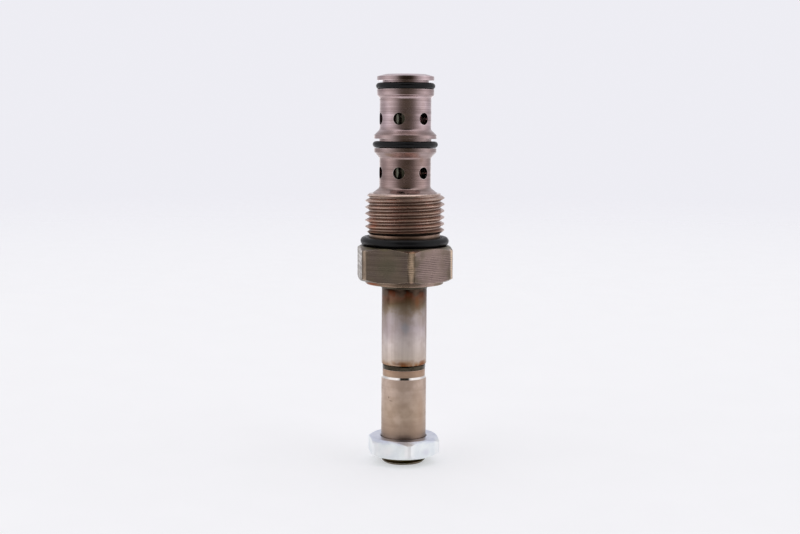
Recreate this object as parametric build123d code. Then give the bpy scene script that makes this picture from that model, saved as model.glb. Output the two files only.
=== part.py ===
from build123d import *
import math
import os

# Solenoid spool cartridge valve, without its coil. Millimetres.
# The origin is on the axis, in the plane of the hexagon's seat face. +Z points at the nose.
# Three ports: the nose bore, the front row of side holes and the rear row of side holes.
# De-energised, the spool joins the two rows and shuts the nose. Energised, it moves towards -Z.

# ---- clearances -------------------------------------------------------------------------
FIT_GAP = 0.02            # between two pieces that are fixed together
RUNNING_GAP = 0.03        # radial, spool in cage and pin in its holes
PLUNGER_GAP = 0.08        # radial, plunger in its tube
THREAD_GAP = 0.06         # radial, bore of the coil nut over the stub's thread
EDGE = 0.20               # small chamfer on a turned edge

# ---- cavity thread and hexagon body -----------------------------------------------------
CAVITY_THREAD_DIA = 22.225
CAVITY_THREAD_PITCH = 25.4 / 14
CAVITY_CREST_HEIGHT = 12.51     # height of one crest on the -X side
SEAT_UNDERCUT_DIA = CAVITY_THREAD_DIA - 2.325
SEAT_UNDERCUT_LENGTH = 3.2
ADAPTER_FRONT_LENGTH = 14.64    # seat face to the face that the cage stands on
HEX_ACROSS_FLATS = 25.4
HEX_CORNER_CUT = 1.13           # taken off the diameter over the sharp corners
HEX_SEAT_DIA = HEX_ACROSS_FLATS - 0.66      # circle where the front corner chamfer starts
HEX_REAR_DIA = HEX_ACROSS_FLATS + 0.28      # circle where the rear corner chamfer starts
HEX_LENGTH = 9.6
HEX_CHAMFER_ANGLE = 30.0
HEX_CORNER_TURN = -82.5         # direction of one corner, degrees from +X
COLLAR_DIA = 22.0
COLLAR_LENGTH = 1.16

# ---- cage, from the adapter's front face to the nose ------------------------------------
CAGE_SPIGOT_DIA = 16.0
SHOULDER_DIA = 18.0
SHOULDER_RIM_LENGTH = 0.14
SHOULDER_FLARE_LENGTH = 1.34
NECK_DIA = 14.4
REAR_NECK_LENGTH = 8.32
MIDDLE_LAND_DIA = 17.46
MIDDLE_CONE_LENGTH = 1.70
MIDDLE_REAR_LAND_LENGTH = 1.00
MIDDLE_GROOVE_DIA = 14.62
MIDDLE_GROOVE_LENGTH = 2.64
MIDDLE_FRONT_LAND_LENGTH = 1.00
MIDDLE_FLARE_LENGTH = 1.50
FRONT_NECK_LENGTH = 8.80
NOSE_DIA = 15.875
NOSE_FLARE_LENGTH = 0.70
NOSE_REAR_LAND_LENGTH = 1.65
NOSE_GROOVE_DIA = 12.90
NOSE_GROOVE_LENGTH = 2.40
NOSE_DISC_LENGTH = 1.15
NOSE_LEAD_LENGTH = 0.60
NECK_FILLET = 0.80              # where a neck runs into a flare
LAND_ROUND = 0.12               # where the middle lands run into their cone and flare
NOSE_LAND_ROUND = 0.35          # where the nose land runs into its flare
PORT_HOLE_DIA = 3.3
PORT_HOLE_COUNT = 6
PORT_HOLE_TURN = -104.6         # direction of one hole in each row, degrees from +X
REAR_PORT_STEP = 4.26           # from the start of the rear neck to its row of holes
FRONT_PORT_STEP = 3.00          # from the start of the front neck to its row of holes
SPOOL_BORE_DIA = 9.5
NOSE_FACE_DIA = SPOOL_BORE_DIA + 2.0

# ---- seals ------------------------------------------------------------------------------
SEAT_RING_SECTION = 2.46
CAGE_RING_SECTION = 1.78
MIDDLE_RING_STEP = 1.04         # centre of the ring above the groove's rear wall

# ---- spool, plunger and spring ----------------------------------------------------------
STROKE = 3.4
PLUNGER_FRONT_Z = 4.6           # front face of the plunger at rest
FRONT_LAND_LENGTH = 2.6
REAR_LAND_LENGTH = 6.8
SPOOL_NECK_DIA = 6.0
SPOOL_TAIL_DIA = 5.0
SPOOL_DRILLING_DIA = 2.6
STOP_WASHER_THICKNESS = 1.2
STOP_WASHER_BORE_DIA = 5.8
REST_GAP = 0.06                 # plunger to stop washer at rest, and to the shim when pulled in
TAIL_SOCKET_DEPTH = 6.5
PIN_DIA = 1.6
PIN_STEP = 3.0                  # from the plunger's front face to the pin
SPRING_WIRE_DIA = 0.6
SPRING_DIA = 4.6
SPRING_POCKET_DIA = 5.0
PLUNGER_POCKET_DEPTH = 8.0
POLE_POCKET_DEPTH = 6.0
SPRING_TURNS = 9.0
SHIM_THICKNESS = 0.2
SHIM_BORE_DIA = SPRING_POCKET_DIA + 0.4

# ---- guide tube and pole piece ----------------------------------------------------------
TUBE_DIA = 12.7                 # also the bore of the coil
TUBE_WALL = 0.70
TUBE_BORE_DIA = TUBE_DIA - 2 * TUBE_WALL
SHIM_DIA = TUBE_BORE_DIA - 0.9
TUBE_INSERT_LENGTH = 5.5        # length of tube inside the collar and hexagon
TUBE_FREE_LENGTH = 22.88        # from the collar to the tube's rounded end
TUBE_END_ROUND = 0.45
FRONT_BRAZE_DIA = TUBE_DIA + 0.6
FRONT_BRAZE_LENGTH = 1.1
POLE_SPIGOT_LENGTH = 8.6        # length of the pole piece inside the tube
REAR_BRAZE_DIA = TUBE_DIA - 0.5
REAR_BRAZE_LENGTH = 1.30
REAR_BRAZE_SEAT_DIA = TUBE_BORE_DIA + 0.1
POLE_RELIEF_DIA = TUBE_DIA - 0.65
POLE_RELIEF_LENGTH = 1.93
POLE_RELIEF_CHAMFER = 0.60
POLE_DIA = TUBE_DIA
POLE_LENGTH = 18.40             # full-diameter length that the coil slides over

# ---- threaded stub and coil nut ---------------------------------------------------------
STUB_THREAD_DIA = POLE_DIA - 0.1
STUB_THREAD_PITCH = 25.4 / 20
STUB_LENGTH = 5.91
STUB_END_DIA = STUB_THREAD_DIA - 1.2
STUB_UNDERCUT_DIA = STUB_THREAD_DIA - 1.6   # relief at the inner end of the stub's thread
STUB_UNDERCUT_LENGTH = STUB_THREAD_PITCH + 0.08
NUT_ACROSS_FLATS = 19.05
NUT_CORNER_CUT = 0.50           # taken off the diameter over the sharp corners
NUT_FACE_DIA = NUT_ACROSS_FLATS - 0.75      # circle where each corner chamfer starts
NUT_CHAMFER_ANGLE = 30.0
NUT_THICKNESS = 5.15
NUT_STAND_OFF = 2.28            # length of stub left standing out of the nut
NUT_CORNER_TURN = -81.1         # direction of one corner, degrees from +X
NUT_MOUTH_DIA = POLE_DIA + 0.7
NUT_REAR_MOUTH_STEP = 0.15      # the rear mouth's radius is this much less than the front's
NUT_SEAL_SECTION = 0.8
NUT_GLAND_LENGTH = 0.95

# ---- heights worked out from the sizes above --------------------------------------------
CAGE_SEAT_Z = ADAPTER_FRONT_LENGTH + FIT_GAP
SHOULDER_Z = CAGE_SEAT_Z + SHOULDER_RIM_LENGTH
REAR_NECK_Z = SHOULDER_Z + SHOULDER_FLARE_LENGTH
MIDDLE_CONE_Z = REAR_NECK_Z + REAR_NECK_LENGTH
MIDDLE_REAR_LAND_Z = MIDDLE_CONE_Z + MIDDLE_CONE_LENGTH
MIDDLE_GROOVE_Z = MIDDLE_REAR_LAND_Z + MIDDLE_REAR_LAND_LENGTH
MIDDLE_FRONT_LAND_Z = MIDDLE_GROOVE_Z + MIDDLE_GROOVE_LENGTH
MIDDLE_FLARE_Z = MIDDLE_FRONT_LAND_Z + MIDDLE_FRONT_LAND_LENGTH
FRONT_NECK_Z = MIDDLE_FLARE_Z + MIDDLE_FLARE_LENGTH
NOSE_FLARE_Z = FRONT_NECK_Z + FRONT_NECK_LENGTH
NOSE_REAR_LAND_Z = NOSE_FLARE_Z + NOSE_FLARE_LENGTH
NOSE_GROOVE_Z = NOSE_REAR_LAND_Z + NOSE_REAR_LAND_LENGTH
NOSE_DISC_Z = NOSE_GROOVE_Z + NOSE_GROOVE_LENGTH
NOSE_LEAD_Z = NOSE_DISC_Z + NOSE_DISC_LENGTH
NOSE_Z = NOSE_LEAD_Z + NOSE_LEAD_LENGTH
REAR_PORT_Z = REAR_NECK_Z + REAR_PORT_STEP
FRONT_PORT_Z = FRONT_NECK_Z + FRONT_PORT_STEP

COLLAR_Z = -HEX_LENGTH - COLLAR_LENGTH
TUBE_FRONT_Z = COLLAR_Z + TUBE_INSERT_LENGTH
TUBE_END_Z = COLLAR_Z - TUBE_FREE_LENGTH
POLE_FACE_Z = TUBE_END_Z + POLE_SPIGOT_LENGTH
BRAZE_END_Z = TUBE_END_Z - REAR_BRAZE_LENGTH
RELIEF_END_Z = BRAZE_END_Z - POLE_RELIEF_LENGTH
POLE_BODY_Z = RELIEF_END_Z - POLE_RELIEF_CHAMFER
STUB_Z = POLE_BODY_Z - POLE_LENGTH
STUB_END_Z = STUB_Z - STUB_LENGTH

PLUNGER_REAR_Z = POLE_FACE_Z + SHIM_THICKNESS + REST_GAP + STROKE
STOP_WASHER_Z = PLUNGER_FRONT_Z + REST_GAP
CAGE_REAR_Z = STOP_WASHER_Z + STOP_WASHER_THICKNESS + FIT_GAP
FRONT_LAND_Z = FRONT_PORT_Z + PORT_HOLE_DIA / 2
REAR_LAND_TOP_Z = CAGE_REAR_Z + STROKE + REST_GAP + REAR_LAND_LENGTH
PIN_Z = PLUNGER_FRONT_Z - PIN_STEP
SPRING_FRONT_Z = PLUNGER_REAR_Z + PLUNGER_POCKET_DEPTH - FIT_GAP
SPRING_REAR_Z = POLE_FACE_Z - POLE_POCKET_DEPTH + FIT_GAP

NUT_REAR_Z = STUB_END_Z + NUT_STAND_OFF
NUT_FRONT_Z = NUT_REAR_Z + NUT_THICKNESS
NUT_SEAL_Z = STUB_Z + NUT_GLAND_LENGTH / 2
NUT_SEAL_RADIUS = POLE_DIA / 2 + RUNNING_GAP + NUT_SEAL_SECTION / 2

THREAD_SLOPE = math.tan(math.radians(30.0))
THREAD_DEPTH_SHARE = 0.6134     # depth of an external unified thread, in pitches


def turned(points):
    """Solid turned about Z from an outline of (radius, height) points."""
    outline = Plane.XZ * Polyline(*points, close=True)
    return revolve(make_face(outline), axis=Axis.Z)


def drilled(diameter, low, high):
    """Round hole or bar along Z between two heights."""
    return turned([(0, low), (diameter / 2, low), (diameter / 2, high), (0, high)])


def ring(section, centre_radius, height):
    """Round-section ring lying flat at a height."""
    return Pos(0, 0, height) * Torus(centre_radius, section / 2)


def helical_bar(pitch, low, turns, inner, outer, inner_half, outer_half):
    """Bar of tapered section wound right-handed about Z, starting on the +X side at height low."""
    mean = (inner + outer) / 2
    path = Helix(pitch=pitch, height=turns * pitch, radius=mean)
    corners = [(inner, -inner_half), (outer, -outer_half), (outer, outer_half), (inner, inner_half)]
    section = make_face(Plane.XZ * Polyline(*corners, close=True))
    return Pos(0, 0, low) * sweep(section, path=path, is_frenet=True)


def external_groove(diameter, pitch, low, turns):
    """The helical groove that cuts an external 60-degree thread into a bar of its major diameter."""
    crest = diameter / 2
    depth = THREAD_DEPTH_SHARE * pitch
    over = pitch / 12
    half = 7 * pitch / 16
    return helical_bar(
        pitch, low, turns,
        crest - depth, crest + over,
        half - depth * THREAD_SLOPE, half + over * THREAD_SLOPE,
    )


def across_corners(across_flats):
    """Diameter over the sharp corners of a hexagon."""
    return across_flats / math.cos(math.radians(30.0))


def rounded(body, radius, height, size):
    """A turned body with its round edge at a radius and a height filleted."""
    edges = [
        edge for edge in body.edges().filter_by(GeomType.CIRCLE)
        if math.isclose(edge.radius, radius, abs_tol=FIT_GAP / 2)
        and math.isclose(edge.arc_center.Z, height, abs_tol=FIT_GAP / 2)
    ]
    return fillet(edges, size)


def hexagon_bar(across_flats, corner_turn, low, high):
    """Hexagonal bar along Z with one corner in the given direction."""
    outline = RegularPolygon(across_corners(across_flats) / 2, 6, rotation=corner_turn)
    return Pos(0, 0, low) * extrude(outline, amount=high - low)


def corner_trim(corner_dia, front_dia, rear_dia, angle, low, high):
    """Turned body that rounds a hexagon's corners and chamfers them at both ends."""
    slope = math.tan(math.radians(angle))
    corner = corner_dia / 2
    front = front_dia / 2
    rear = rear_dia / 2
    return turned([
        (0, low),
        (rear, low),
        (corner, low + (corner - rear) * slope),
        (corner, high - (corner - front) * slope),
        (front, high),
        (0, high),
    ])


def port_holes(height):
    """One row of round side holes, drilled from the axis outwards."""
    holes = []
    for index in range(PORT_HOLE_COUNT):
        turn = PORT_HOLE_TURN + index * 360.0 / PORT_HOLE_COUNT
        drill = Cylinder(PORT_HOLE_DIA / 2, NOSE_DIA, align=(Align.CENTER, Align.CENTER, Align.MIN))
        holes.append(Pos(0, 0, height) * Rot(0, 0, turn) * Rot(0, 90, 0) * drill)
    return holes


def cage():
    """Ported sleeve with three sealing lands, two necks, the spool bore and the nose port."""
    spigot = CAGE_SPIGOT_DIA / 2
    shoulder = SHOULDER_DIA / 2
    neck = NECK_DIA / 2
    land = MIDDLE_LAND_DIA / 2
    nose = NOSE_DIA / 2
    bore = SPOOL_BORE_DIA / 2
    body = turned([
        (bore + EDGE, CAGE_REAR_Z),
        (spigot - EDGE, CAGE_REAR_Z),
        (spigot, CAGE_REAR_Z + EDGE),
        (spigot, CAGE_SEAT_Z),
        (shoulder, CAGE_SEAT_Z),
        (shoulder, SHOULDER_Z),
        (neck, REAR_NECK_Z),
        (neck, MIDDLE_CONE_Z),
        (land, MIDDLE_REAR_LAND_Z),
        (land, MIDDLE_GROOVE_Z),
        (MIDDLE_GROOVE_DIA / 2, MIDDLE_GROOVE_Z),
        (MIDDLE_GROOVE_DIA / 2, MIDDLE_FRONT_LAND_Z),
        (land, MIDDLE_FRONT_LAND_Z),
        (land, MIDDLE_FLARE_Z),
        (neck, FRONT_NECK_Z),
        (neck, NOSE_FLARE_Z),
        (nose, NOSE_REAR_LAND_Z),
        (nose, NOSE_GROOVE_Z),
        (NOSE_GROOVE_DIA / 2, NOSE_GROOVE_Z),
        (NOSE_GROOVE_DIA / 2, NOSE_DISC_Z),
        (nose, NOSE_DISC_Z),
        (nose, NOSE_LEAD_Z),
        (NOSE_FACE_DIA / 2, NOSE_Z),
        (bore + EDGE, NOSE_Z),
        (bore, NOSE_Z - EDGE),
        (bore, CAGE_REAR_Z + EDGE),
    ])
    for height in (REAR_NECK_Z, MIDDLE_CONE_Z, FRONT_NECK_Z, NOSE_FLARE_Z):
        body = rounded(body, neck, height, NECK_FILLET)
    for height in (MIDDLE_REAR_LAND_Z, MIDDLE_FLARE_Z):
        body = rounded(body, land, height, LAND_ROUND)
    body = rounded(body, nose, NOSE_REAR_LAND_Z, NOSE_LAND_ROUND)
    for hole in port_holes(REAR_PORT_Z) + port_holes(FRONT_PORT_Z):
        body -= hole
    return body


def threaded_front():
    """Front part of the adapter, with the thread that screws into the manifold cavity."""
    root = SEAT_UNDERCUT_DIA / 2
    crest = CAVITY_THREAD_DIA / 2
    run = crest - root
    low = SEAT_UNDERCUT_LENGTH
    high = ADAPTER_FRONT_LENGTH
    pitch = CAVITY_THREAD_PITCH
    # On the +X side a groove lies a whole number of pitches from the crest on the -X side.
    groove_height = CAVITY_CREST_HEIGHT % pitch - pitch
    turns = math.ceil(high / pitch) + 2
    thread = drilled(CAVITY_THREAD_DIA, low, high)
    thread -= external_groove(CAVITY_THREAD_DIA, pitch, groove_height, turns)
    ends = turned([
        (0, low),
        (root, low),
        (crest, low + run),
        (crest + run, low + run),
        (crest + run, high - 2 * run),
        (root, high),
        (0, high),
    ])
    return thread & ends


def hex_adapter():
    """Hexagon body with its cavity thread, its rear collar and the stepped bore through it."""
    hexagon = hexagon_bar(HEX_ACROSS_FLATS, HEX_CORNER_TURN, -HEX_LENGTH, 0)
    corner = across_corners(HEX_ACROSS_FLATS) - HEX_CORNER_CUT
    hexagon &= corner_trim(
        corner, HEX_SEAT_DIA, HEX_REAR_DIA, HEX_CHAMFER_ANGLE, -HEX_LENGTH, 0
    )
    collar = turned([
        (0, COLLAR_Z),
        (COLLAR_DIA / 2 - EDGE, COLLAR_Z),
        (COLLAR_DIA / 2, COLLAR_Z + EDGE),
        (COLLAR_DIA / 2, -HEX_LENGTH),
        (0, -HEX_LENGTH),
    ])
    undercut = drilled(SEAT_UNDERCUT_DIA, 0, SEAT_UNDERCUT_LENGTH)
    body = hexagon + collar + undercut + threaded_front()
    body -= drilled(CAGE_SPIGOT_DIA + 2 * FIT_GAP, STOP_WASHER_Z, ADAPTER_FRONT_LENGTH)
    body -= drilled(TUBE_BORE_DIA, TUBE_FRONT_Z + FIT_GAP, STOP_WASHER_Z)
    socket = TUBE_DIA / 2 + FIT_GAP
    braze = FRONT_BRAZE_DIA / 2 + FIT_GAP
    body -= turned([
        (0, COLLAR_Z),
        (braze, COLLAR_Z),
        (socket, COLLAR_Z + braze - socket),
        (socket, TUBE_FRONT_Z + FIT_GAP),
        (0, TUBE_FRONT_Z + FIT_GAP),
    ])
    return body


def guide_tube():
    """Thin non-magnetic tube that the plunger runs in, with its rear edge rounded."""
    outer = TUBE_DIA / 2
    bore = TUBE_BORE_DIA / 2
    half_turn = TUBE_END_ROUND * (1 - math.cos(math.radians(45.0)))
    sides = [
        Line((bore, TUBE_END_Z), (bore, TUBE_FRONT_Z)),
        Line((bore, TUBE_FRONT_Z), (outer, TUBE_FRONT_Z)),
        Line((outer, TUBE_FRONT_Z), (outer, TUBE_END_Z + TUBE_END_ROUND)),
        ThreePointArc(
            (outer, TUBE_END_Z + TUBE_END_ROUND),
            (outer - half_turn, TUBE_END_Z + half_turn),
            (outer - TUBE_END_ROUND, TUBE_END_Z),
        ),
        Line((outer - TUBE_END_ROUND, TUBE_END_Z), (bore, TUBE_END_Z)),
    ]
    return revolve(make_face(Plane.XZ * Curve(sides)), axis=Axis.Z)


def front_braze_ring():
    """Fillet of braze between the collar and the guide tube."""
    inner = TUBE_DIA / 2 + FIT_GAP
    outer = FRONT_BRAZE_DIA / 2
    top = COLLAR_Z - FIT_GAP
    return turned([
        (inner, top - FRONT_BRAZE_LENGTH),
        (outer - 0.5 * (outer - inner), top - FRONT_BRAZE_LENGTH),
        (outer, top - 0.6 * FRONT_BRAZE_LENGTH),
        (outer, top),
        (inner, top),
    ])


def rear_braze_ring():
    """Band of braze in the groove between the tube's end and the pole piece."""
    inner = REAR_BRAZE_SEAT_DIA / 2 + FIT_GAP
    outer = REAR_BRAZE_DIA / 2
    top = TUBE_END_Z - FIT_GAP
    low = BRAZE_END_Z + FIT_GAP
    return turned([
        (inner, low),
        (outer - EDGE, low),
        (outer, low + EDGE),
        (outer, top - EDGE),
        (outer - EDGE, top),
        (inner, top),
    ])


def pole_piece():
    """Fixed core: spigot inside the tube, plain body for the coil, and the threaded stub."""
    spigot = TUBE_BORE_DIA / 2 - FIT_GAP
    pocket = SPRING_POCKET_DIA / 2
    thread_top = STUB_Z - STUB_UNDERCUT_LENGTH
    core = turned([
        (0, thread_top),
        (STUB_UNDERCUT_DIA / 2, thread_top),
        (STUB_UNDERCUT_DIA / 2, STUB_Z),
        (POLE_DIA / 2, STUB_Z),
        (POLE_DIA / 2, POLE_BODY_Z),
        (POLE_RELIEF_DIA / 2, RELIEF_END_Z),
        (POLE_RELIEF_DIA / 2, BRAZE_END_Z),
        (REAR_BRAZE_SEAT_DIA / 2, BRAZE_END_Z),
        (REAR_BRAZE_SEAT_DIA / 2, TUBE_END_Z - FIT_GAP),
        (spigot, TUBE_END_Z - FIT_GAP),
        (spigot, POLE_FACE_Z - EDGE),
        (spigot - EDGE, POLE_FACE_Z),
        (pocket, POLE_FACE_Z),
        (pocket, POLE_FACE_Z - POLE_POCKET_DEPTH),
        (0, POLE_FACE_Z - POLE_POCKET_DEPTH),
    ])
    return core + threaded_stub(thread_top)


def threaded_stub(top):
    """The stub's external thread, with a chamfer at its free end."""
    end = STUB_END_DIA / 2
    crest = STUB_THREAD_DIA / 2
    reach = crest + EDGE
    pitch = STUB_THREAD_PITCH
    # The groove starts and ends more than a pitch outside the bar that it is cut into.
    turns = math.ceil(STUB_LENGTH / pitch) + 2
    groove_height = STUB_Z - (turns - 0.5) * pitch
    thread = drilled(STUB_THREAD_DIA, STUB_END_Z, top)
    thread -= external_groove(STUB_THREAD_DIA, pitch, groove_height, turns)
    ends = turned([
        (0, STUB_END_Z),
        (end, STUB_END_Z),
        (reach, STUB_END_Z + reach - end),
        (reach, top),
        (0, top),
    ])
    return thread & ends


def coil_nut():
    """Hexagon nut that holds the coil on, with a gland for its seal and a bore that clears the stub's thread."""
    hexagon = hexagon_bar(NUT_ACROSS_FLATS, NUT_CORNER_TURN, NUT_REAR_Z, NUT_FRONT_Z)
    corner = across_corners(NUT_ACROSS_FLATS) - NUT_CORNER_CUT
    hexagon &= corner_trim(
        corner, NUT_FACE_DIA, NUT_FACE_DIA, NUT_CHAMFER_ANGLE, NUT_REAR_Z, NUT_FRONT_Z
    )
    clear = STUB_THREAD_DIA / 2 + THREAD_GAP
    front_mouth = NUT_MOUTH_DIA / 2
    rear_mouth = front_mouth - NUT_REAR_MOUTH_STEP
    gland = NUT_SEAL_RADIUS + NUT_SEAL_SECTION / 2 + RUNNING_GAP
    collar = POLE_DIA / 2 + RUNNING_GAP
    gland_top = STUB_Z + NUT_GLAND_LENGTH
    bore = turned([
        (0, NUT_REAR_Z),
        (rear_mouth, NUT_REAR_Z),
        (clear, NUT_REAR_Z + rear_mouth - clear),
        (clear, STUB_Z),
        (gland, STUB_Z),
        (gland, gland_top),
        (collar, gland_top),
        (collar, NUT_FRONT_Z - (front_mouth - collar)),
        (front_mouth, NUT_FRONT_Z),
        (0, NUT_FRONT_Z),
    ])
    return hexagon - bore


def nut_seal_ring():
    """Rubber ring in the coil nut's gland, round the pole piece."""
    return ring(NUT_SEAL_SECTION, NUT_SEAL_RADIUS, NUT_SEAL_Z)


def seat_o_ring():
    """Ring behind the cavity thread, lying on the seat face."""
    centre = SEAT_UNDERCUT_DIA / 2 + FIT_GAP / 2 + SEAT_RING_SECTION / 2
    return ring(SEAT_RING_SECTION, centre, SEAT_RING_SECTION / 2 + FIT_GAP)


def middle_o_ring():
    """Ring in the middle groove, between the two rows of side holes."""
    centre = MIDDLE_GROOVE_DIA / 2 + FIT_GAP / 2 + CAGE_RING_SECTION / 2
    return ring(CAGE_RING_SECTION, centre, MIDDLE_GROOVE_Z + MIDDLE_RING_STEP)


def nose_o_ring():
    """Ring in the nose groove, resting on the groove's rear wall."""
    centre = NOSE_GROOVE_DIA / 2 + FIT_GAP / 2 + CAGE_RING_SECTION / 2
    return ring(CAGE_RING_SECTION, centre, NOSE_GROOVE_Z + CAGE_RING_SECTION / 2 + FIT_GAP / 2)


def spool():
    """Two lands joined by a neck, with a tail for the plunger and a drilling from end to end."""
    land = SPOOL_BORE_DIA / 2 - RUNNING_GAP
    neck = SPOOL_NECK_DIA / 2
    tail = SPOOL_TAIL_DIA / 2
    land_rear = REAR_LAND_TOP_Z - REAR_LAND_LENGTH
    land_front = FRONT_LAND_Z + FRONT_LAND_LENGTH
    tail_end = PLUNGER_FRONT_Z - TAIL_SOCKET_DEPTH + RUNNING_GAP
    drilling = SPOOL_DRILLING_DIA / 2
    body = turned([
        (drilling, tail_end),
        (tail, tail_end),
        (tail, land_rear),
        (land - EDGE, land_rear),
        (land, land_rear + EDGE),
        (land, REAR_LAND_TOP_Z),
        (neck, REAR_LAND_TOP_Z),
        (neck, FRONT_LAND_Z),
        (land, FRONT_LAND_Z),
        (land, land_front - EDGE),
        (land - EDGE, land_front),
        (drilling, land_front),
    ])
    return body - cross_hole()


def cross_hole():
    """Hole for the coupling pin, across the spool's tail and the plunger."""
    return Pos(0, 0, PIN_Z) * Rot(0, 90, 0) * Cylinder(PIN_DIA / 2 + RUNNING_GAP, TUBE_BORE_DIA)


def coupling_pin():
    """Pin that ties the spool's tail to the plunger, just short of the plunger's sides."""
    length = TUBE_BORE_DIA - 2 * PLUNGER_GAP - 2 * EDGE - 0.6
    return Pos(0, 0, PIN_Z) * Rot(0, 90, 0) * Cylinder(PIN_DIA / 2, length)


def spool_stop_washer():
    """Washer behind the cage that stops the plunger at rest."""
    outer = CAGE_SPIGOT_DIA / 2
    bore = STOP_WASHER_BORE_DIA / 2
    top = STOP_WASHER_Z + STOP_WASHER_THICKNESS
    return turned([
        (bore, STOP_WASHER_Z),
        (outer, STOP_WASHER_Z),
        (outer, top),
        (bore, top),
    ])


def plunger():
    """Iron plunger with a front socket, a rear spring pocket and an oil passage between them."""
    outer = TUBE_BORE_DIA / 2 - PLUNGER_GAP
    socket = SPOOL_TAIL_DIA / 2 + RUNNING_GAP
    pocket = SPRING_POCKET_DIA / 2
    passage = SPOOL_DRILLING_DIA / 2
    socket_end = PLUNGER_FRONT_Z - TAIL_SOCKET_DEPTH
    pocket_end = PLUNGER_REAR_Z + PLUNGER_POCKET_DEPTH
    body = turned([
        (pocket, PLUNGER_REAR_Z),
        (outer - EDGE, PLUNGER_REAR_Z),
        (outer, PLUNGER_REAR_Z + EDGE),
        (outer, PLUNGER_FRONT_Z - EDGE),
        (outer - EDGE, PLUNGER_FRONT_Z),
        (socket, PLUNGER_FRONT_Z),
        (socket, socket_end),
        (passage, socket_end),
        (passage, pocket_end),
        (pocket, pocket_end),
    ])
    return body - cross_hole()


def return_spring():
    """Compression spring between the pole piece and the plunger."""
    wire = SPRING_WIRE_DIA / 2
    coil = SPRING_DIA / 2 - wire
    height = SPRING_FRONT_Z - SPRING_REAR_Z - 2 * wire
    path = Helix(pitch=height / SPRING_TURNS, height=height, radius=coil)
    section = Plane(origin=path @ 0, z_dir=path % 0) * Circle(wire)
    return Pos(0, 0, SPRING_REAR_Z + wire) * sweep(section, path=path, is_frenet=True)


def residual_shim():
    """Thin non-magnetic washer on the pole face."""
    return turned([
        (SHIM_BORE_DIA / 2, POLE_FACE_Z + FIT_GAP / 2),
        (SHIM_DIA / 2, POLE_FACE_Z + FIT_GAP / 2),
        (SHIM_DIA / 2, POLE_FACE_Z + SHIM_THICKNESS),
        (SHIM_BORE_DIA / 2, POLE_FACE_Z + SHIM_THICKNESS),
    ])


NODES = {
    "cage": cage,
    "hex_adapter": hex_adapter,
    "guide_tube": guide_tube,
    "pole_piece": pole_piece,
    "front_braze_ring": front_braze_ring,
    "rear_braze_ring": rear_braze_ring,
    "coil_nut": coil_nut,
    "nut_seal_ring": nut_seal_ring,
    "seat_o_ring": seat_o_ring,
    "middle_o_ring": middle_o_ring,
    "nose_o_ring": nose_o_ring,
    "spool": spool,
    "plunger": plunger,
    "coupling_pin": coupling_pin,
    "spool_stop_washer": spool_stop_washer,
    "return_spring": return_spring,
    "residual_shim": residual_shim,
}

os.makedirs("parts", exist_ok=True)
for name, make in NODES.items():
    export_step(make(), f"parts/{name}.step")
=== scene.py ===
"""Looks of a solenoid spool cartridge valve that stands upright on its threaded stub.

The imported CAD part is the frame. This script gives its turned, drawn and plated metals their
finishes, models the rubber rings, the brazed joints and the return spring, and sets up a plain
studio round them.
"""

import logging
import math
from dataclasses import dataclass
from enum import Enum

import bpy
from mathutils import Matrix, Vector

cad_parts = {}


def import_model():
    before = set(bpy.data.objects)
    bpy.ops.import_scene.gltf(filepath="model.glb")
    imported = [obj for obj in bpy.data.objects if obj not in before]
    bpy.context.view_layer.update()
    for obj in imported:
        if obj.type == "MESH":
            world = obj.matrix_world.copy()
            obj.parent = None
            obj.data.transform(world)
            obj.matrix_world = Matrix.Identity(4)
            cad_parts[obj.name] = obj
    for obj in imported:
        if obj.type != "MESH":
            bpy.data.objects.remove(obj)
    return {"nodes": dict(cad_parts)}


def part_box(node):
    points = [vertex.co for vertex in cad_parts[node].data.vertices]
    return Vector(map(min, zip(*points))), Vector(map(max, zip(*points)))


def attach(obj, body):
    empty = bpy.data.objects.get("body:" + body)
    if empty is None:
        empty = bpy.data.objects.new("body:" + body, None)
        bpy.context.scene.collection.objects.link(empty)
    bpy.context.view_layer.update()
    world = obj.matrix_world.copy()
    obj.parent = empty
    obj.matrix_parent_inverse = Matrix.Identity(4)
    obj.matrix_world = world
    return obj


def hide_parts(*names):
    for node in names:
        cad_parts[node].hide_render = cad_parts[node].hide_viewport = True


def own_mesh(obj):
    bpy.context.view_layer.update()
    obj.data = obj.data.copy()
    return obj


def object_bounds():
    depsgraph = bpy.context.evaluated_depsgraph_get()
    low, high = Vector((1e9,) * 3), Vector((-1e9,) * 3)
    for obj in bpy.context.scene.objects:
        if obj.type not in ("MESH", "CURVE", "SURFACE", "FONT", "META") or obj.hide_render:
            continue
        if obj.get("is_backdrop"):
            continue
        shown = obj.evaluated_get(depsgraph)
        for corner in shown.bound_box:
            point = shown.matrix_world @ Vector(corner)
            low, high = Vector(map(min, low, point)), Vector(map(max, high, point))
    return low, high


MM = 0.001
LEVEL = 1e-7                        # heights closer than this, in metres, count as the same
WELD = 0.001 * MM                   # corners closer than this are joined
CREASE = math.radians(40.0)         # edges sharper than this stay sharp
PATCHES_PER_METRE = 230.0           # grain of the film and the stains on metal
MARK_COLOUR = (0.25, 0.22, 0.20, 1.0)
LOG = logging.getLogger("cartridge_valve")

Colour = tuple[float, float, float]
Point = tuple[float, float, float]
Socket = bpy.types.NodeSocket
Value = Socket | float | tuple[float, ...]


class Lay(Enum):
    """Which way the marks of machining run on a metal."""

    TURNED = "turned"
    DRAWN = "drawn"
    GROUND = "ground"


def linear(colour: Colour) -> tuple[float, float, float, float]:
    """The linear colour, with full alpha, of one given as seen on a screen."""
    parts = [c / 12.92 if c <= 0.04045 else ((c + 0.055) / 1.055) ** 2.4 for c in colour]
    return (parts[0], parts[1], parts[2], 1.0)


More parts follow.
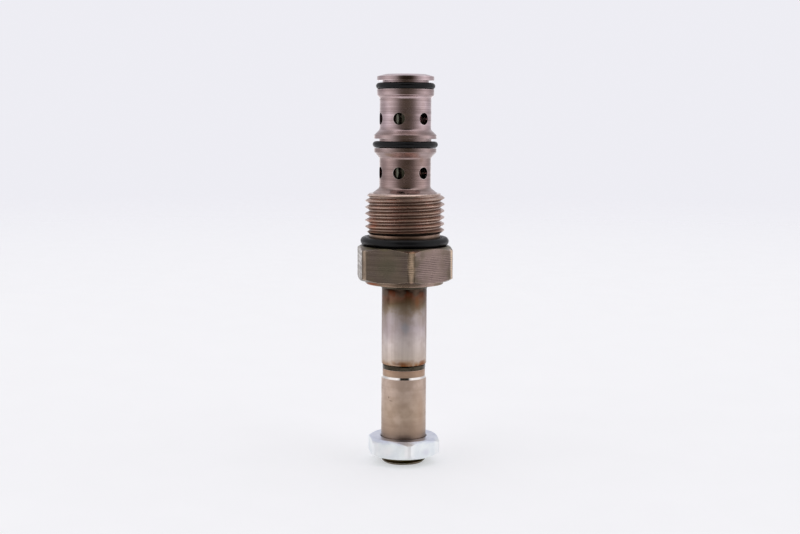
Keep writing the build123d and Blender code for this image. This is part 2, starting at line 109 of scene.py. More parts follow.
class NodeBench:
    """Adds and joins the nodes of one shader tree."""

    def __init__(self, tree: bpy.types.NodeTree) -> None:
        """Works on the node tree of a material, a world or a group."""
        self.tree = tree

    def add(self, kind: str, **settings: object) -> bpy.types.Node:
        """Adds a node.

        Args:
            kind: The node's type name.
            **settings: Attributes to set on it.

        Returns:
            The new node.
        """
        node = self.tree.nodes.new(kind)
        for name, value in settings.items():
            setattr(node, name, value)
        return node

    def feed(self, socket: Socket, value: Value) -> None:
        """Links another node's output into a socket, or sets the socket's own value.

        Args:
            socket: The input.
            value: Another node's output, or a number, vector or colour.
        """
        if isinstance(value, bpy.types.NodeSocket):
            self.tree.links.new(value, socket)
        else:
            socket.default_value = value

    def math(self, operation: str, *values: Value) -> Socket:
        """Result of a Math node.

        Args:
            operation: The node's operation.
            *values: Its inputs, in order.

        Returns:
            The node's output.
        """
        node = self.add("ShaderNodeMath", operation=operation)
        for socket, value in zip(node.inputs, values):
            self.feed(socket, value)
        return node.outputs[0]

    def ease(
        self, value: Value, low: float, high: float, start: float = 0.0, end: float = 1.0
    ) -> Socket:
        """Value carried smoothly from one range to another and held at its ends.

        Args:
            value: What is carried over.
            low: Its value that gives start.
            high: Its value that gives end.
            start: Result at and below low.
            end: Result at and above high.

        Returns:
            The eased value.
        """
        node = self.add("ShaderNodeMapRange", interpolation_type="SMOOTHSTEP")
        for name, item in zip(
            ("Value", "From Min", "From Max", "To Min", "To Max"), (value, low, high, start, end)
        ):
            self.feed(node.inputs[name], item)
        return node.outputs["Result"]

    def blend(self, share: Value, first: Value, second: Value, mode: str = "MIX") -> Socket:
        """Colour between two colours.

        Args:
            share: 0 for the first colour, 1 for the second.
            first: First colour.
            second: Second colour.
            mode: How the second is laid over the first.

        Returns:
            The mixed colour.
        """
        node = self.add("ShaderNodeMix", data_type="RGBA", blend_type=mode)
        colours = [s for s in node.inputs if s.type == "RGBA"]
        self.feed(node.inputs[0], share)
        self.feed(colours[0], first)
        self.feed(colours[1], second)
        return next(s for s in node.outputs if s.type == "RGBA")

    def stretched(self, position: Value, scale: Value) -> Socket:
        """Position multiplied by a vector, part by part.

        Args:
            position: The position.
            scale: A multiplier for each axis.

        Returns:
            The stretched position.
        """
        node = self.add("ShaderNodeVectorMath", operation="MULTIPLY")
        self.feed(node.inputs[0], position)
        self.feed(node.inputs[1], scale)
        return node.outputs[0]

    def noise(self, position: Value, detail: float, roughness: float) -> Socket:
        """Cloudy value from 0 to 1.

        Args:
            position: Position, in units of the noise's own grain.
            detail: Number of finer layers.
            roughness: Strength of each finer layer.

        Returns:
            The noise.
        """
        node = self.add("ShaderNodeTexNoise")
        self.feed(node.inputs["Vector"], position)
        self.feed(node.inputs["Scale"], 1.0)
        self.feed(node.inputs["Detail"], detail)
        self.feed(node.inputs["Roughness"], roughness)
        return node.outputs[0]

    def split(self, position: Value) -> tuple[Socket, Socket, Socket]:
        """Parts of a position.

        Args:
            position: The position.

        Returns:
            Its x, y and z.
        """
        node = self.add("ShaderNodeSeparateXYZ")
        self.feed(node.inputs[0], position)
        return node.outputs[0], node.outputs[1], node.outputs[2]

    def joined(self, x: Value, y: Value, z: Value) -> Socket:
        """Vector made of three parts.

        Args:
            x: First part.
            y: Second part.
            z: Third part.

        Returns:
            The vector.
        """
        node = self.add("ShaderNodeCombineXYZ")
        for socket, value in zip(node.inputs, (x, y, z)):
            self.feed(socket, value)
        return node.outputs[0]

    def distance(self, position: Value, point: Value) -> Socket:
        """Distance from a position to a point.

        Args:
            position: The position.
            point: The point.

        Returns:
            How far apart they are.
        """
        node = self.add("ShaderNodeVectorMath", operation="DISTANCE")
        self.feed(node.inputs[0], position)
        self.feed(node.inputs[1], point)
        return node.outputs["Value"]

    def radius(self, x: Value, y: Value) -> Socket:
        """Distance from an axis, from the two distances across it."""
        squares = [self.math("MULTIPLY", part, part) for part in (x, y)]
        return self.math("SQRT", self.math("ADD", *squares))

    def away(self, position: Value, centre: Point, size: Point) -> Socket:
        """How far a position lies from the middle of a place.

        Args:
            position: The position, in metres.
            centre: Middle of the place, in millimetres.
            size: Reach of the place along each axis, in millimetres.

        Returns:
            0 in the middle of the place and 1 at its edge.
        """
        scale = tuple(1.0 / (part * MM) for part in size)
        middle = tuple(part / reach for part, reach in zip(centre, size))
        return self.distance(self.stretched(position, scale), middle)


class EffectGroup:
    """A shader node group with named inputs and outputs, built the first time it is asked for."""

    name = ""
    inputs: tuple[tuple[str, str], ...] = ()
    outputs: tuple[tuple[str, str], ...] = ()

    def tree(self) -> bpy.types.NodeTree:
        """The group's node tree, made if it isn't there yet.

        Returns:
            The tree.
        """
        found = bpy.data.node_groups.get(self.name)
        if found is not None:
            return found
        made = bpy.data.node_groups.new(self.name, "ShaderNodeTree")
        for name, kind in self.inputs:
            made.interface.new_socket(name=name, in_out="INPUT", socket_type=kind)
        for name, kind in self.outputs:
            made.interface.new_socket(name=name, in_out="OUTPUT", socket_type=kind)
        bench = NodeBench(made)
        self.fill(bench, bench.add("NodeGroupInput"), bench.add("NodeGroupOutput"))
        return made

    def fill(self, bench: NodeBench, given: bpy.types.Node, result: bpy.types.Node) -> None:
        """Adds the group's nodes between its input and output nodes."""
        raise NotImplementedError

    def place(self, bench: NodeBench, **values: Value) -> bpy.types.Node:
        """Places the group in a material.

        Args:
            bench: Bench over the material's tree.
            **values: Value or link for each input, its name in lower case.

        Returns:
            The group node.
        """
        node = bench.add("ShaderNodeGroup", node_tree=self.tree())
        for name, _ in self.inputs:
            bench.feed(node.inputs[name], values[name.lower()])
        return node


class ToolMarks(EffectGroup):
    """Long fine marks of a cutting or drawing tool, coarse and fine together."""

    name = "tool_marks"
    inputs = (("Position", "NodeSocketVector"), ("Pitch", "NodeSocketVector"))
    outputs = (("Tone", "NodeSocketFloat"), ("Height", "NodeSocketFloat"))

    def fill(self, bench: NodeBench, given: bpy.types.Node, result: bpy.types.Node) -> None:
        """Adds two sizes of stretched noise.

        Args:
            bench: Bench over the group's tree.
            given: The group's input node.
            result: The group's output node.
        """
        marks = bench.stretched(given.outputs["Position"], given.outputs["Pitch"])
        coarse = bench.noise(bench.stretched(marks, (0.22, 0.22, 0.22)), 2.0, 0.5)
        fine = bench.noise(marks, 3.0, 0.7)
        broad, narrow = bench.math("MULTIPLY", coarse, 0.55), bench.math("MULTIPLY", fine, 0.45)
        tone = bench.math("ADD", broad, narrow)
        bench.feed(result.inputs["Tone"], bench.ease(tone, 0.32, 0.68))
        bench.feed(result.inputs["Height"], tone)


class EdgeAndHollow(EffectGroup):
    """Outer edges, rubbed bright and given a painted highlight, and corners and grooves, given grime and
    painted shade.
    """

    name = "edge_and_hollow"
    inputs = (("Position", "NodeSocketVector"), ("Reach", "NodeSocketFloat"))
    outputs = (("Edge", "NodeSocketFloat"), ("Hollow", "NodeSocketFloat"))

    def fill(self, bench: NodeBench, given: bpy.types.Node, result: bpy.types.Node) -> None:
        """Adds inside and outside occlusion, with the edge broken up by nicks.

        Args:
            bench: Bench over the group's tree.
            given: The group's input node.
            result: The group's output node.
        """
        inner = bench.add("ShaderNodeAmbientOcclusion", inside=True, only_local=True, samples=6)
        bench.feed(inner.inputs["Distance"], given.outputs["Reach"])
        outer = bench.add("ShaderNodeAmbientOcclusion", samples=6)
        bench.feed(outer.inputs["Distance"], bench.math("MULTIPLY", given.outputs["Reach"], 6.0))
        # Inside occlusion finds outer edges: rubbed edges, with a painted highlight laid on them
        edge = bench.ease(inner.outputs["AO"], 0.88, 0.50)
        nicks = bench.noise(bench.stretched(given.outputs["Position"], (900.0, 900.0, 900.0)), 3.0, 0.6)
        nicked = bench.math("MULTIPLY", edge, bench.ease(nicks, 0.30, 0.55, 0.35, 1.0))
        bench.feed(result.inputs["Edge"], nicked)
        # Hollow is outside occlusion, neighbouring parts included: painted shade in corners, grooves and
        # between parts, with grime
        bench.feed(result.inputs["Hollow"], bench.ease(outer.outputs["AO"], 0.75, 0.15))


class Mottle(EffectGroup):
    """Soft patches, as oil film and handling leave on bare metal."""

    name = "mottle"
    inputs = (("Position", "NodeSocketVector"), ("Repeats", "NodeSocketFloat"))
    outputs = (("Patch", "NodeSocketFloat"), ("Speck", "NodeSocketFloat"))

    def fill(self, bench: NodeBench, given: bpy.types.Node, result: bpy.types.Node) -> None:
        """Adds large patches and small specks.

        Args:
            bench: Bench over the group's tree.
            given: The group's input node.
            result: The group's output node.
        """
        scale = bench.joined(*[given.outputs["Repeats"]] * 3)
        places = bench.stretched(given.outputs["Position"], scale)
        patch = bench.noise(places, 3.0, 0.55)
        speck = bench.noise(bench.stretched(places, (9.0, 9.0, 9.0)), 2.0, 0.5)
        bench.feed(result.inputs["Patch"], bench.ease(patch, 0.35, 0.65))
        bench.feed(result.inputs["Speck"], bench.ease(speck, 0.62, 0.72))


@dataclass(frozen=True)
class StainAndLightPatch:
    """A soft-edged patch of colour on a surface, used for real marks and for painted shade and painted
    highlights.

    Attributes:
        place: Its centre, in millimetres.
        size: Its half extent along each axis, in millimetres.
        colour: Colour at its centre.
        share: How much of that colour shows there.
    """

    place: Point
    size: Point
    colour: Colour
    share: float


@dataclass(frozen=True)
class FeedLines:
    """Fine level lines that a cutter leaves on part of a face.

    Attributes:
        place: Centre of the part, in millimetres.
        size: Reach from there along each axis, in millimetres.
        spacing: Distance between lines, in millimetres.
        share: How much darker a line is.
        colour: Colour in a line.
    """

    place: Point
    size: Point
    spacing: float = 0.50
    share: float = 0.5
    colour: Colour = (0.30, 0.25, 0.23)


@dataclass(frozen=True)
class MetalFinish:
    """A machined metal surface.

    Attributes:
        name: Name of the material.
        bands: Heights in millimetres, from low to high, each with the metal's colour there.
        lay: Which way the tool marks run.
        spacing: Distance between marks, in millimetres.
        roughness: Roughness on polished and on dull places.
        relief: Depth of the marks, in millimetres.
        contrast: How much darker the marks are.
        rim: Colour of rubbed edges, which also lays a painted highlight on every outer edge.
        rim_share: How much of it shows.
        rim_reach: Width of the rubbed and highlighted edge, in millimetres.
        grime_and_shade: Colour in hollows: grime, and painted shade where the hollows are occluded.
        grime_and_shade_share: How much of it shows.
        film: Colour of the patches.
        film_share: How much of it shows.
        stains_and_painted_light: Patches of colour: real discolouration, and painted shade and painted
            highlights.
        lines: Places with a cutter's lines.
        waver: How far the bands of colour wander up and down, in millimetres.
        cuts: Lowest and highest level of each bright-cut place, in millimetres.
        cut_colour: Colour of the metal there.
        cut_gloss: Share of the roughness that is left there.
        corner: Radii in millimetres between which the corner colour comes in.
        corner_colour: Colour of the turned corners of a hexagon.
        corner_share: How much of it shows.
    """

    name: str
    bands: tuple[tuple[float, Colour], ...]
    lay: Lay = Lay.TURNED
    spacing: float = 0.30
    roughness: tuple[float, float] = (0.22, 0.40)
    relief: float = 0.004
    contrast: float = 0.25
    rim: Colour = (0.90, 0.87, 0.86)
    rim_share: float = 0.7
    rim_reach: float = 0.12
    grime_and_shade: Colour = (0.10, 0.08, 0.06)
    grime_and_shade_share: float = 0.5
    film: Colour = (0.45, 0.38, 0.30)
    film_share: float = 0.2
    stains_and_painted_light: tuple[StainAndLightPatch, ...] = ()
    lines: tuple[FeedLines, ...] = ()
    waver: float = 0.5
    cuts: tuple[tuple[float, float], ...] = ()
    cut_colour: Colour = (0.96, 0.94, 0.92)
    cut_gloss: float = 0.2
    corner: tuple[float, float] | None = None
    corner_colour: Colour = (0.80, 0.72, 0.62)
    corner_share: float = 0.6

    def pitch(self) -> Point:
        """How close the marks lie.

        Returns:
            Marks per metre along each axis.
        """
        close = 1.0 / (self.spacing * MM)
        if self.lay is Lay.TURNED:
            return (close * 0.012, close * 0.012, close)
        if self.lay is Lay.DRAWN:
            return (close, close, close * 0.018)
        return (close * 0.5, close * 0.5, close * 0.5)

    def height_colour(self, bench: NodeBench, height: Socket) -> Value:
        """Colour of the bare metal by height.

        Args:
            bench: Bench over the material's tree.
            height: Height, in metres.

        Returns:
            One colour, or a ramp's output.
        """
        if len(self.bands) == 1:
            return linear(self.bands[0][1])
        low, high = self.bands[0][0], self.bands[-1][0]
        share = bench.add("ShaderNodeMapRange")
        for name, item in (("Value", height), ("From Min", low * MM), ("From Max", high * MM)):
            bench.feed(share.inputs[name], item)
        ramp = bench.add("ShaderNodeValToRGB")
        stops = ramp.color_ramp.elements
        for index, (level, colour) in enumerate(self.bands):
            place = (level - low) / (high - low)
            stop = stops[index] if index < 2 else stops.new(place)
            stop.position = place
            stop.color = linear(colour)
        bench.feed(ramp.inputs[0], share.outputs["Result"])
        return ramp.outputs["Color"]

    def material(self) -> bpy.types.Material:
        """The finish as a material, made once.

        Returns:
            The material.
        """
        found = bpy.data.materials.get(self.name)
        if found is not None:
            return found
        made = bpy.data.materials.new(self.name)
        made.use_nodes = True
        bench = NodeBench(made.node_tree)
        shader = made.node_tree.nodes["Principled BSDF"]
        place = bench.add("ShaderNodeTexCoord").outputs["Object"]
        marks = ToolMarks().place(bench, position=place, pitch=self.pitch())
        mottle = Mottle().place(bench, position=place, repeats=PATCHES_PER_METRE)
        patch = mottle.outputs["Patch"]

        colour = self.bare(bench, place, marks.outputs["Tone"], patch)
        # Patches of real discolouration, and of painted shade and painted highlight
        for spot in self.stains_and_painted_light:
            colour = self.stained_and_lit(bench, colour, place, patch, spot)
        for lines in self.lines:
            colour = self.ruled(bench, colour, place, patch, lines)
        if self.corner is not None:
            colour = self.cornered(bench, colour, place, patch)
        # Grime and painted shade in the hollows, rubbed edges with a painted highlight on them
        colour = self.worn(bench, colour, place)
        sheen = bench.math("ADD", bench.math("MULTIPLY", marks.outputs["Tone"], 0.6),
                           bench.math("MULTIPLY", patch, 0.4))
        gloss = bench.ease(sheen, 0.1, 0.9, *self.roughness)
        height = bench.split(place)[2]
        for low, high in self.cuts:
            cut = bench.math("MULTIPLY", bench.ease(height, (low - 0.03) * MM, (low + 0.01) * MM),
                             bench.ease(height, (high + 0.03) * MM, (high - 0.01) * MM))
            colour = bench.blend(cut, colour, linear(self.cut_colour))
            gloss = bench.math("MULTIPLY", gloss, bench.ease(cut, 0.0, 1.0, 1.0, self.cut_gloss))
        bench.feed(shader.inputs["Base Color"], colour)
        bench.feed(shader.inputs["Roughness"], gloss)
        bump = bench.add("ShaderNodeBump")
        bench.feed(bump.inputs["Strength"], 1.0)
        bench.feed(bump.inputs["Distance"], self.relief * MM)
        specks = bench.math("MULTIPLY", mottle.outputs["Speck"], 0.4)
        bench.feed(bump.inputs["Height"], bench.math("ADD", marks.outputs["Height"], specks))
        bench.feed(shader.inputs["Normal"], bump.outputs[0])
        shader.inputs["Metallic"].default_value = 1.0
        return made

    def bare(self, bench: NodeBench, place: Socket, tone: Socket, patch: Socket) -> Socket:
        """Colour of the metal by height, with its tool marks and its film.

        Args:
            bench: Bench over the material's tree.
            place: Position, in metres.
            tone: The tool marks.
            patch: Patches of the film, which also make the bands of colour wander.

        Returns:
            The colour.
        """
        height = bench.split(place)[2]
        bent = bench.math("ADD", height, bench.math("MULTIPLY", patch, self.waver * MM))
        shade = bench.math("MULTIPLY", tone, self.contrast)
        colour = bench.blend(shade, self.height_colour(bench, bent), MARK_COLOUR, "MULTIPLY")
        return bench.blend(bench.math("MULTIPLY", patch, self.film_share), colour, linear(self.film))

    def stained_and_lit(
        self, bench: NodeBench, colour: Value, place: Socket, patch: Socket, spot: StainAndLightPatch
    ) -> Socket:
        """Colour with one patch laid over it; some patches are real discolouration, others painted shade
        or a painted highlight.

        Args:
            bench: Bench over the material's tree.
            colour: Colour so far.
            place: Position, in metres.
            patch: Patches that break up its edge.
            spot: The patch of colour to lay over it.

        Returns:
            The colour with the patch laid over it.
        """
        away = bench.away(place, spot.place, spot.size)
        ragged = bench.math("ADD", away, bench.math("MULTIPLY", patch, 0.35))
        return bench.blend(bench.ease(ragged, 1.15, 0.35, 0.0, spot.share), colour, linear(spot.colour))

    def ruled(
        self, bench: NodeBench, colour: Value, place: Socket, patch: Socket, lines: FeedLines
    ) -> Socket:
        """Colour with a cutter's lines over part of it.

        Args:
            bench: Bench over the material's tree.
            colour: Colour so far.
            place: Position, in metres.
            patch: Patches that make the lines fade in and out.
            lines: The lines.

        Returns:
            The ruled colour.
        """
        away = bench.away(place, lines.place, lines.size)
        height = bench.split(place)[2]
        turn = bench.math("MULTIPLY", height, 2.0 * math.pi / (lines.spacing * MM))
        bent = bench.math("ADD", turn, bench.math("MULTIPLY", patch, 1.5))
        line = bench.ease(bench.math("SINE", bent), -0.2, 0.8)
        worn = bench.math("MULTIPLY", line, bench.ease(patch, 0.85, 0.25, 0.35, 1.0))
        shown = bench.math("MULTIPLY", worn, bench.ease(away, 1.1, 0.6, 0.0, lines.share))
        return bench.blend(shown, colour, linear(lines.colour))

    def cornered(self, bench: NodeBench, colour: Value, place: Socket, patch: Socket) -> Socket:
        """Colour with the turned corners of a hexagon laid over it.

        Args:
            bench: Bench over the material's tree.
            colour: Colour so far.
            place: Position, in metres.
            patch: Patches that break up the corners' edges.

        Returns:
            The colour with its corners.
        """
        inner, outer = self.corner
        across, deep, _ = bench.split(place)
        ragged = bench.math("ADD", bench.radius(across, deep), bench.math("MULTIPLY", patch, 0.1 * MM))
        corner = bench.ease(ragged, inner * MM, outer * MM, 0.0, self.corner_share)
        return bench.blend(corner, colour, linear(self.corner_colour))

    def worn(self, bench: NodeBench, colour: Value, place: Socket) -> Socket:
        """Colour with grime and painted shade in the hollows, and rubbed edges with a painted highlight.

        Args:
            bench: Bench over the material's tree.
            colour: Colour so far.
            place: Position, in metres.

        Returns:
            The colour with grime and painted shade in hollows and painted highlights on edges.
        """
        edges_and_hollows = EdgeAndHollow().place(bench, position=place, reach=self.rim_reach * MM)
        # Grime and painted shade in the hollows, then rubbed edges with a painted highlight
        hollow = bench.math("MULTIPLY", edges_and_hollows.outputs["Hollow"], self.grime_and_shade_share)
        colour = bench.blend(hollow, colour, linear(self.grime_and_shade))
        edge = bench.math("MULTIPLY", edges_and_hollows.outputs["Edge"], self.rim_share)
        return bench.blend(edge, colour, linear(self.rim))


@dataclass(frozen=True)
class RubberFinish:
    """Moulded black rubber with a thin film of oil.

    Attributes:
        name: Name of the material.
        body: Its colour.
        dust: Colour of the paler places.
        roughness: Roughness on oiled and on dry places.
        patches: Dry patches in a metre.
        skin: Grains of the moulded skin in a metre.
    """

    name: str = "nitrile_rubber"
    body: Colour = (0.035, 0.035, 0.045)
    dust: Colour = (0.085, 0.085, 0.10)
    roughness: tuple[float, float] = (0.30, 0.44)
    patches: float = 420.0
    skin: float = 2500.0

    def material(self) -> bpy.types.Material:
        """The finish as a material, made once.

        Returns:
            The material.
        """
        found = bpy.data.materials.get(self.name)
        if found is not None:
            return found
        made = bpy.data.materials.new(self.name)
        made.use_nodes = True
        bench = NodeBench(made.node_tree)
        shader = made.node_tree.nodes["Principled BSDF"]
        place = bench.add("ShaderNodeTexCoord").outputs["Object"]
        mottle = Mottle().place(bench, position=place, repeats=self.patches)
        dust = bench.math("ADD", bench.math("MULTIPLY", mottle.outputs["Patch"], 0.30),
                          bench.math("MULTIPLY", mottle.outputs["Speck"], 0.35))
        bench.feed(shader.inputs["Base Color"], bench.blend(dust, linear(self.body), linear(self.dust)))
        oiled, dry = self.roughness
        bench.feed(shader.inputs["Roughness"], bench.ease(mottle.outputs["Patch"], 0.0, 1.0, oiled, dry))
        bump = bench.add("ShaderNodeBump")
        bench.feed(bump.inputs["Distance"], 0.01 * MM)
        grain = bench.noise(bench.stretched(place, (self.skin, self.skin, self.skin)), 3.0, 0.6)
        bench.feed(bump.inputs["Height"], grain)
        bench.feed(shader.inputs["Normal"], bump.outputs[0])
        shader.inputs["Specular IOR Level"].default_value = 0.22
        return made


def corner_highlights(
    radius: float, turn: float, height: float, size: Point, colour: Colour, share: float
) -> tuple[StainAndLightPatch, ...]:
    """Painted highlights along the six corners of a hexagon.

    Args:
        radius: Distance of the corners from the axis, in millimetres.
        turn: Direction of one corner, in degrees.
        height: Height of the corners' middle, in millimetres.
        size: Reach of each place along each axis, in millimetres.
        colour: Colour of the painted highlight.
        share: How much of it shows.

    Returns:
        One highlight patch for each corner.
    """
    turns = (math.radians(turn + 60.0 * step) for step in range(6))
    return tuple(
        StainAndLightPatch((radius * math.cos(angle), radius * math.sin(angle), height), size, colour, share)
        for angle in turns
    )


CAGE_STEEL = MetalFinish(
    name="fine_turned_cage_steel",
    bands=(
        (14.0, (0.78, 0.68, 0.66)),
        (16.2, (0.74, 0.65, 0.63)),
        (17.2, (0.77, 0.67, 0.66)),
        (23.8, (0.77, 0.67, 0.66)),
        (26.0, (0.73, 0.65, 0.64)),
        (31.5, (0.79, 0.70, 0.70)),
        (34.0, (0.87, 0.78, 0.80)),
        (41.0, (0.87, 0.78, 0.79)),
        (45.2, (0.84, 0.75, 0.76)),
        (48.0, (0.98, 0.89, 0.91)),
    ),
    spacing=0.26,
    roughness=(0.12, 0.28),
    relief=0.009,
    contrast=0.62,
    rim=(0.98, 0.93, 0.92),
    rim_share=0.9,
    rim_reach=0.15,
    grime_and_shade=(0.17, 0.13, 0.10),
    grime_and_shade_share=0.5,
    film=(0.55, 0.44, 0.38),
    film_share=0.25,
    stains_and_painted_light=(
        # Darker front of the nose disc and the middle land: painted shade, the dark front of the room
        # mirrored
        StainAndLightPatch((0.3, -7.8, 46.3), (2.8, 2.5, 1.3), (0.36, 0.29, 0.27), 0.9),
        StainAndLightPatch((0.3, -8.0, 41.8), (2.6, 2.0, 0.9), (0.50, 0.40, 0.37), 0.6),
        # Near black inside the bore: painted shade, so the ports look dark
        StainAndLightPatch((0.0, 0.0, 30.0), (6.6, 6.6, 90.0), (0.05, 0.06, 0.05), 1.0),
        # Darker front of the necks: painted shade, the dark front of the room mirrored; the lower one
        # also browner with film
        StainAndLightPatch((0.8, -7.4, 31.4), (4.4, 2.6, 1.3), (0.46, 0.35, 0.32), 0.6),
        StainAndLightPatch((0.5, -7.8, 25.6), (3.6, 2.4, 1.0), (0.50, 0.37, 0.30), 0.5),
        StainAndLightPatch((-5.5, -5.0, 20.5), (3.5, 3.5, 4.5), (0.50, 0.42, 0.40), 0.45),
        StainAndLightPatch((-4.5, -7.0, 25.4), (3.0, 2.0, 0.8), (0.52, 0.40, 0.28), 0.5),
        StainAndLightPatch((4.5, -6.0, 24.0), (1.2, 2.0, 1.5), (0.50, 0.38, 0.28), 0.35),
    ),
)
ADAPTER_STEEL = MetalFinish(
    name="bronzed_adapter_steel",
    bands=(
        (-10.8, (0.66, 0.56, 0.48)),
        (-9.7, (0.60, 0.52, 0.46)),
        (-9.3, (0.49, 0.435, 0.40)),
        (-0.4, (0.49, 0.435, 0.40)),
        (0.2, (0.52, 0.49, 0.38)),
        (3.2, (0.66, 0.54, 0.47)),
        (6.0, (0.84, 0.715, 0.665)),
        (14.0, (0.84, 0.725, 0.675)),
        (14.7, (0.92, 0.81, 0.77)),
    ),
    spacing=0.24,
    roughness=(0.22, 0.40),
    relief=0.006,
    contrast=0.50,
    rim=(0.98, 0.88, 0.79),
    rim_share=0.95,
    rim_reach=0.20,
    grime_and_shade=(0.12, 0.08, 0.055),
    grime_and_shade_share=0.88,
    film=(0.44, 0.40, 0.30),
    film_share=0.30,
    cuts=((14.50, 14.64),),
    cut_colour=(0.84, 0.74, 0.70),
    lines=(
        FeedLines((9.0, -9.5, -5.4), (9.5, 8.0, 4.8), 0.50, 0.68, (0.25, 0.21, 0.20)),
        FeedLines((0.5, -13.0, -4.6), (2.8, 3.0, 4.4), 0.50, 0.5),
        FeedLines((-7.0, -11.0, -5.0), (5.0, 5.0, 4.8), 0.56, 0.30),
        FeedLines((-9.5, 9.5, -5.2), (8.5, 6.0, 4.2), 0.50, 0.60, (0.27, 0.22, 0.21)),
        FeedLines((0.0, 13.0, -5.0), (6.0, 3.0, 4.0), 0.54, 0.35),
    ),
    stains_and_painted_light=(
        # Front-left flat darkened to olive grey: painted shade of that flat
        StainAndLightPatch((-5.0, -12.0, -5.0), (5.0, 4.0, 5.0), (0.40, 0.385, 0.31), 0.6),
        StainAndLightPatch((-2.0, -12.5, -1.4), (5.0, 3.0, 1.2), (0.36, 0.33, 0.28), 0.45),
        # Front-right flat lifted to pale pink: painted highlight of that flat
        StainAndLightPatch((8.2, -10.3, -5.0), (8.0, 8.0, 14.0), (0.73, 0.63, 0.61), 0.55),
        # Painted highlights along the six hexagon corners
        *corner_highlights(14.1, -82.2, -5.0, (1.25, 1.25, 9.0), (1.0, 0.88, 0.76), 0.95),
        # Left turned corner darkened: painted shade over its bright reflection
        StainAndLightPatch((-11.3, -8.6, -5.0), (1.9, 2.2, 8.0), (0.33, 0.29, 0.25), 0.8),
        StainAndLightPatch((-9.0, -6.5, -10.3), (5.0, 5.0, 0.9), (0.62, 0.30, 0.12), 0.7),
        StainAndLightPatch((-9.5, -6.0, 6.0), (4.0, 5.0, 3.2), (0.80, 0.48, 0.30), 0.35),
    ),
)
TUBE_STEEL = MetalFinish(
    name="drawn_tube_steel",
    bands=(
        (-33.64, (0.42, 0.24, 0.12)),
        (-33.2, (0.57, 0.36, 0.20)),
        (-32.5, (0.72, 0.59, 0.48)),
        (-31.4, (0.86, 0.80, 0.75)),
        (-27.0, (0.90, 0.85, 0.83)),
        (-22.5, (0.81, 0.76, 0.77)),
        (-18.5, (0.70, 0.65, 0.63)),
        (-16.6, (0.53, 0.47, 0.39)),
        (-15.2, (0.41, 0.33, 0.24)),
        (-13.8, (0.37, 0.23, 0.13)),
        (-12.9, (0.37, 0.17, 0.08)),
        (-12.1, (0.15, 0.09, 0.06)),
    ),
    lay=Lay.DRAWN,
    spacing=0.45,
    roughness=(0.28, 0.44),
    relief=0.004,
    contrast=0.22,
    rim=(0.90, 0.86, 0.82),
    rim_share=0.5,
    grime_and_shade=(0.28, 0.15, 0.07),
    grime_and_shade_share=0.55,
    film=(0.66, 0.56, 0.48),
    film_share=0.30,
    stains_and_painted_light=(
        # Darker strips down the left and right sides of the tube: painted shade
        StainAndLightPatch((-6.4, -0.5, -22.0), (1.1, 3.2, 13.0), (0.50, 0.38, 0.30), 0.75),
        StainAndLightPatch((6.4, -0.5, -22.0), (1.1, 3.2, 13.0), (0.52, 0.39, 0.31), 0.75),
        StainAndLightPatch((3.6, -5.2, -15.6), (1.3, 1.5, 2.6), (0.50, 0.33, 0.22), 0.6),
        StainAndLightPatch((-4.4, -4.6, -14.8), (1.0, 1.5, 2.2), (0.24, 0.15, 0.10), 0.6),
        # Greyer front centre: painted reflection of the dark front of the room
        StainAndLightPatch((0.4, -6.3, -22.5), (1.6, 1.5, 2.8), (0.62, 0.63, 0.66), 0.55),
        StainAndLightPatch((-4.4, -4.6, -23.0), (1.8, 2.0, 5.0), (0.70, 0.64, 0.65), 0.45),
        # Pale patch front-right: painted highlight
        StainAndLightPatch((3.5, -5.3, -19.4), (2.2, 2.0, 2.8), (0.86, 0.82, 0.82), 0.35),
        StainAndLightPatch((-1.0, -6.2, -32.9), (3.2, 1.5, 0.7), (0.46, 0.26, 0.13), 0.6),
        StainAndLightPatch((5.0, -3.9, -32.6), (1.6, 1.5, 0.9), (0.52, 0.30, 0.16), 0.6),
    ),
    waver=1.5,
)
CORE_STEEL = MetalFinish(
    name="satin_core_steel",
    bands=(
        (-61.8, (0.33, 0.295, 0.13)),
        (-59.0, (0.33, 0.290, 0.16)),
        # Darker from -51.5 mm down to the nut: painted shade at the foot of the core
        (-54.6, (0.56, 0.48, 0.42)),
        (-51.5, (0.70, 0.61, 0.54)),
        (-47.0, (0.77, 0.68, 0.60)),
        (-38.0, (0.83, 0.745, 0.69)),
        (-37.0, (0.83, 0.745, 0.69)),
        (-36.8, (0.77, 0.66, 0.57)),
        (-34.9, (0.73, 0.60, 0.51)),
    ),
    spacing=0.14,
    roughness=(0.28, 0.42),
    relief=0.0018,
    contrast=0.09,
    rim=(0.96, 0.95, 0.93),
    rim_share=0.6,
    rim_reach=0.10,
    grime_and_shade=(0.25, 0.20, 0.12),
    grime_and_shade_share=0.5,
    film=(0.62, 0.52, 0.44),
    film_share=0.45,
    cuts=((-37.45, -36.89),),
    cut_gloss=0.10,
    stains_and_painted_light=(
        StainAndLightPatch((-3.6, -5.2, -43.5), (0.9, 0.9, 0.18), (0.36, 0.30, 0.26), 0.8),
        StainAndLightPatch((-4.2, -4.7, -42.6), (0.25, 0.6, 0.5), (0.40, 0.33, 0.28), 0.7),
        # Darker strip down the front-right: painted shade, the dark front of the room mirrored
        StainAndLightPatch((4.6, -4.2, -46.0), (1.6, 1.5, 6.5), (0.66, 0.55, 0.47), 0.45),
        StainAndLightPatch((-1.8, -6.0, -48.5), (1.8, 1.5, 2.6), (0.86, 0.77, 0.70), 0.35),
        # Darker band on the front just above the nut: painted shade
        StainAndLightPatch((0.5, -6.3, -53.8), (4.0, 2.5, 1.3), (0.46, 0.39, 0.36), 0.5),
    ),
)
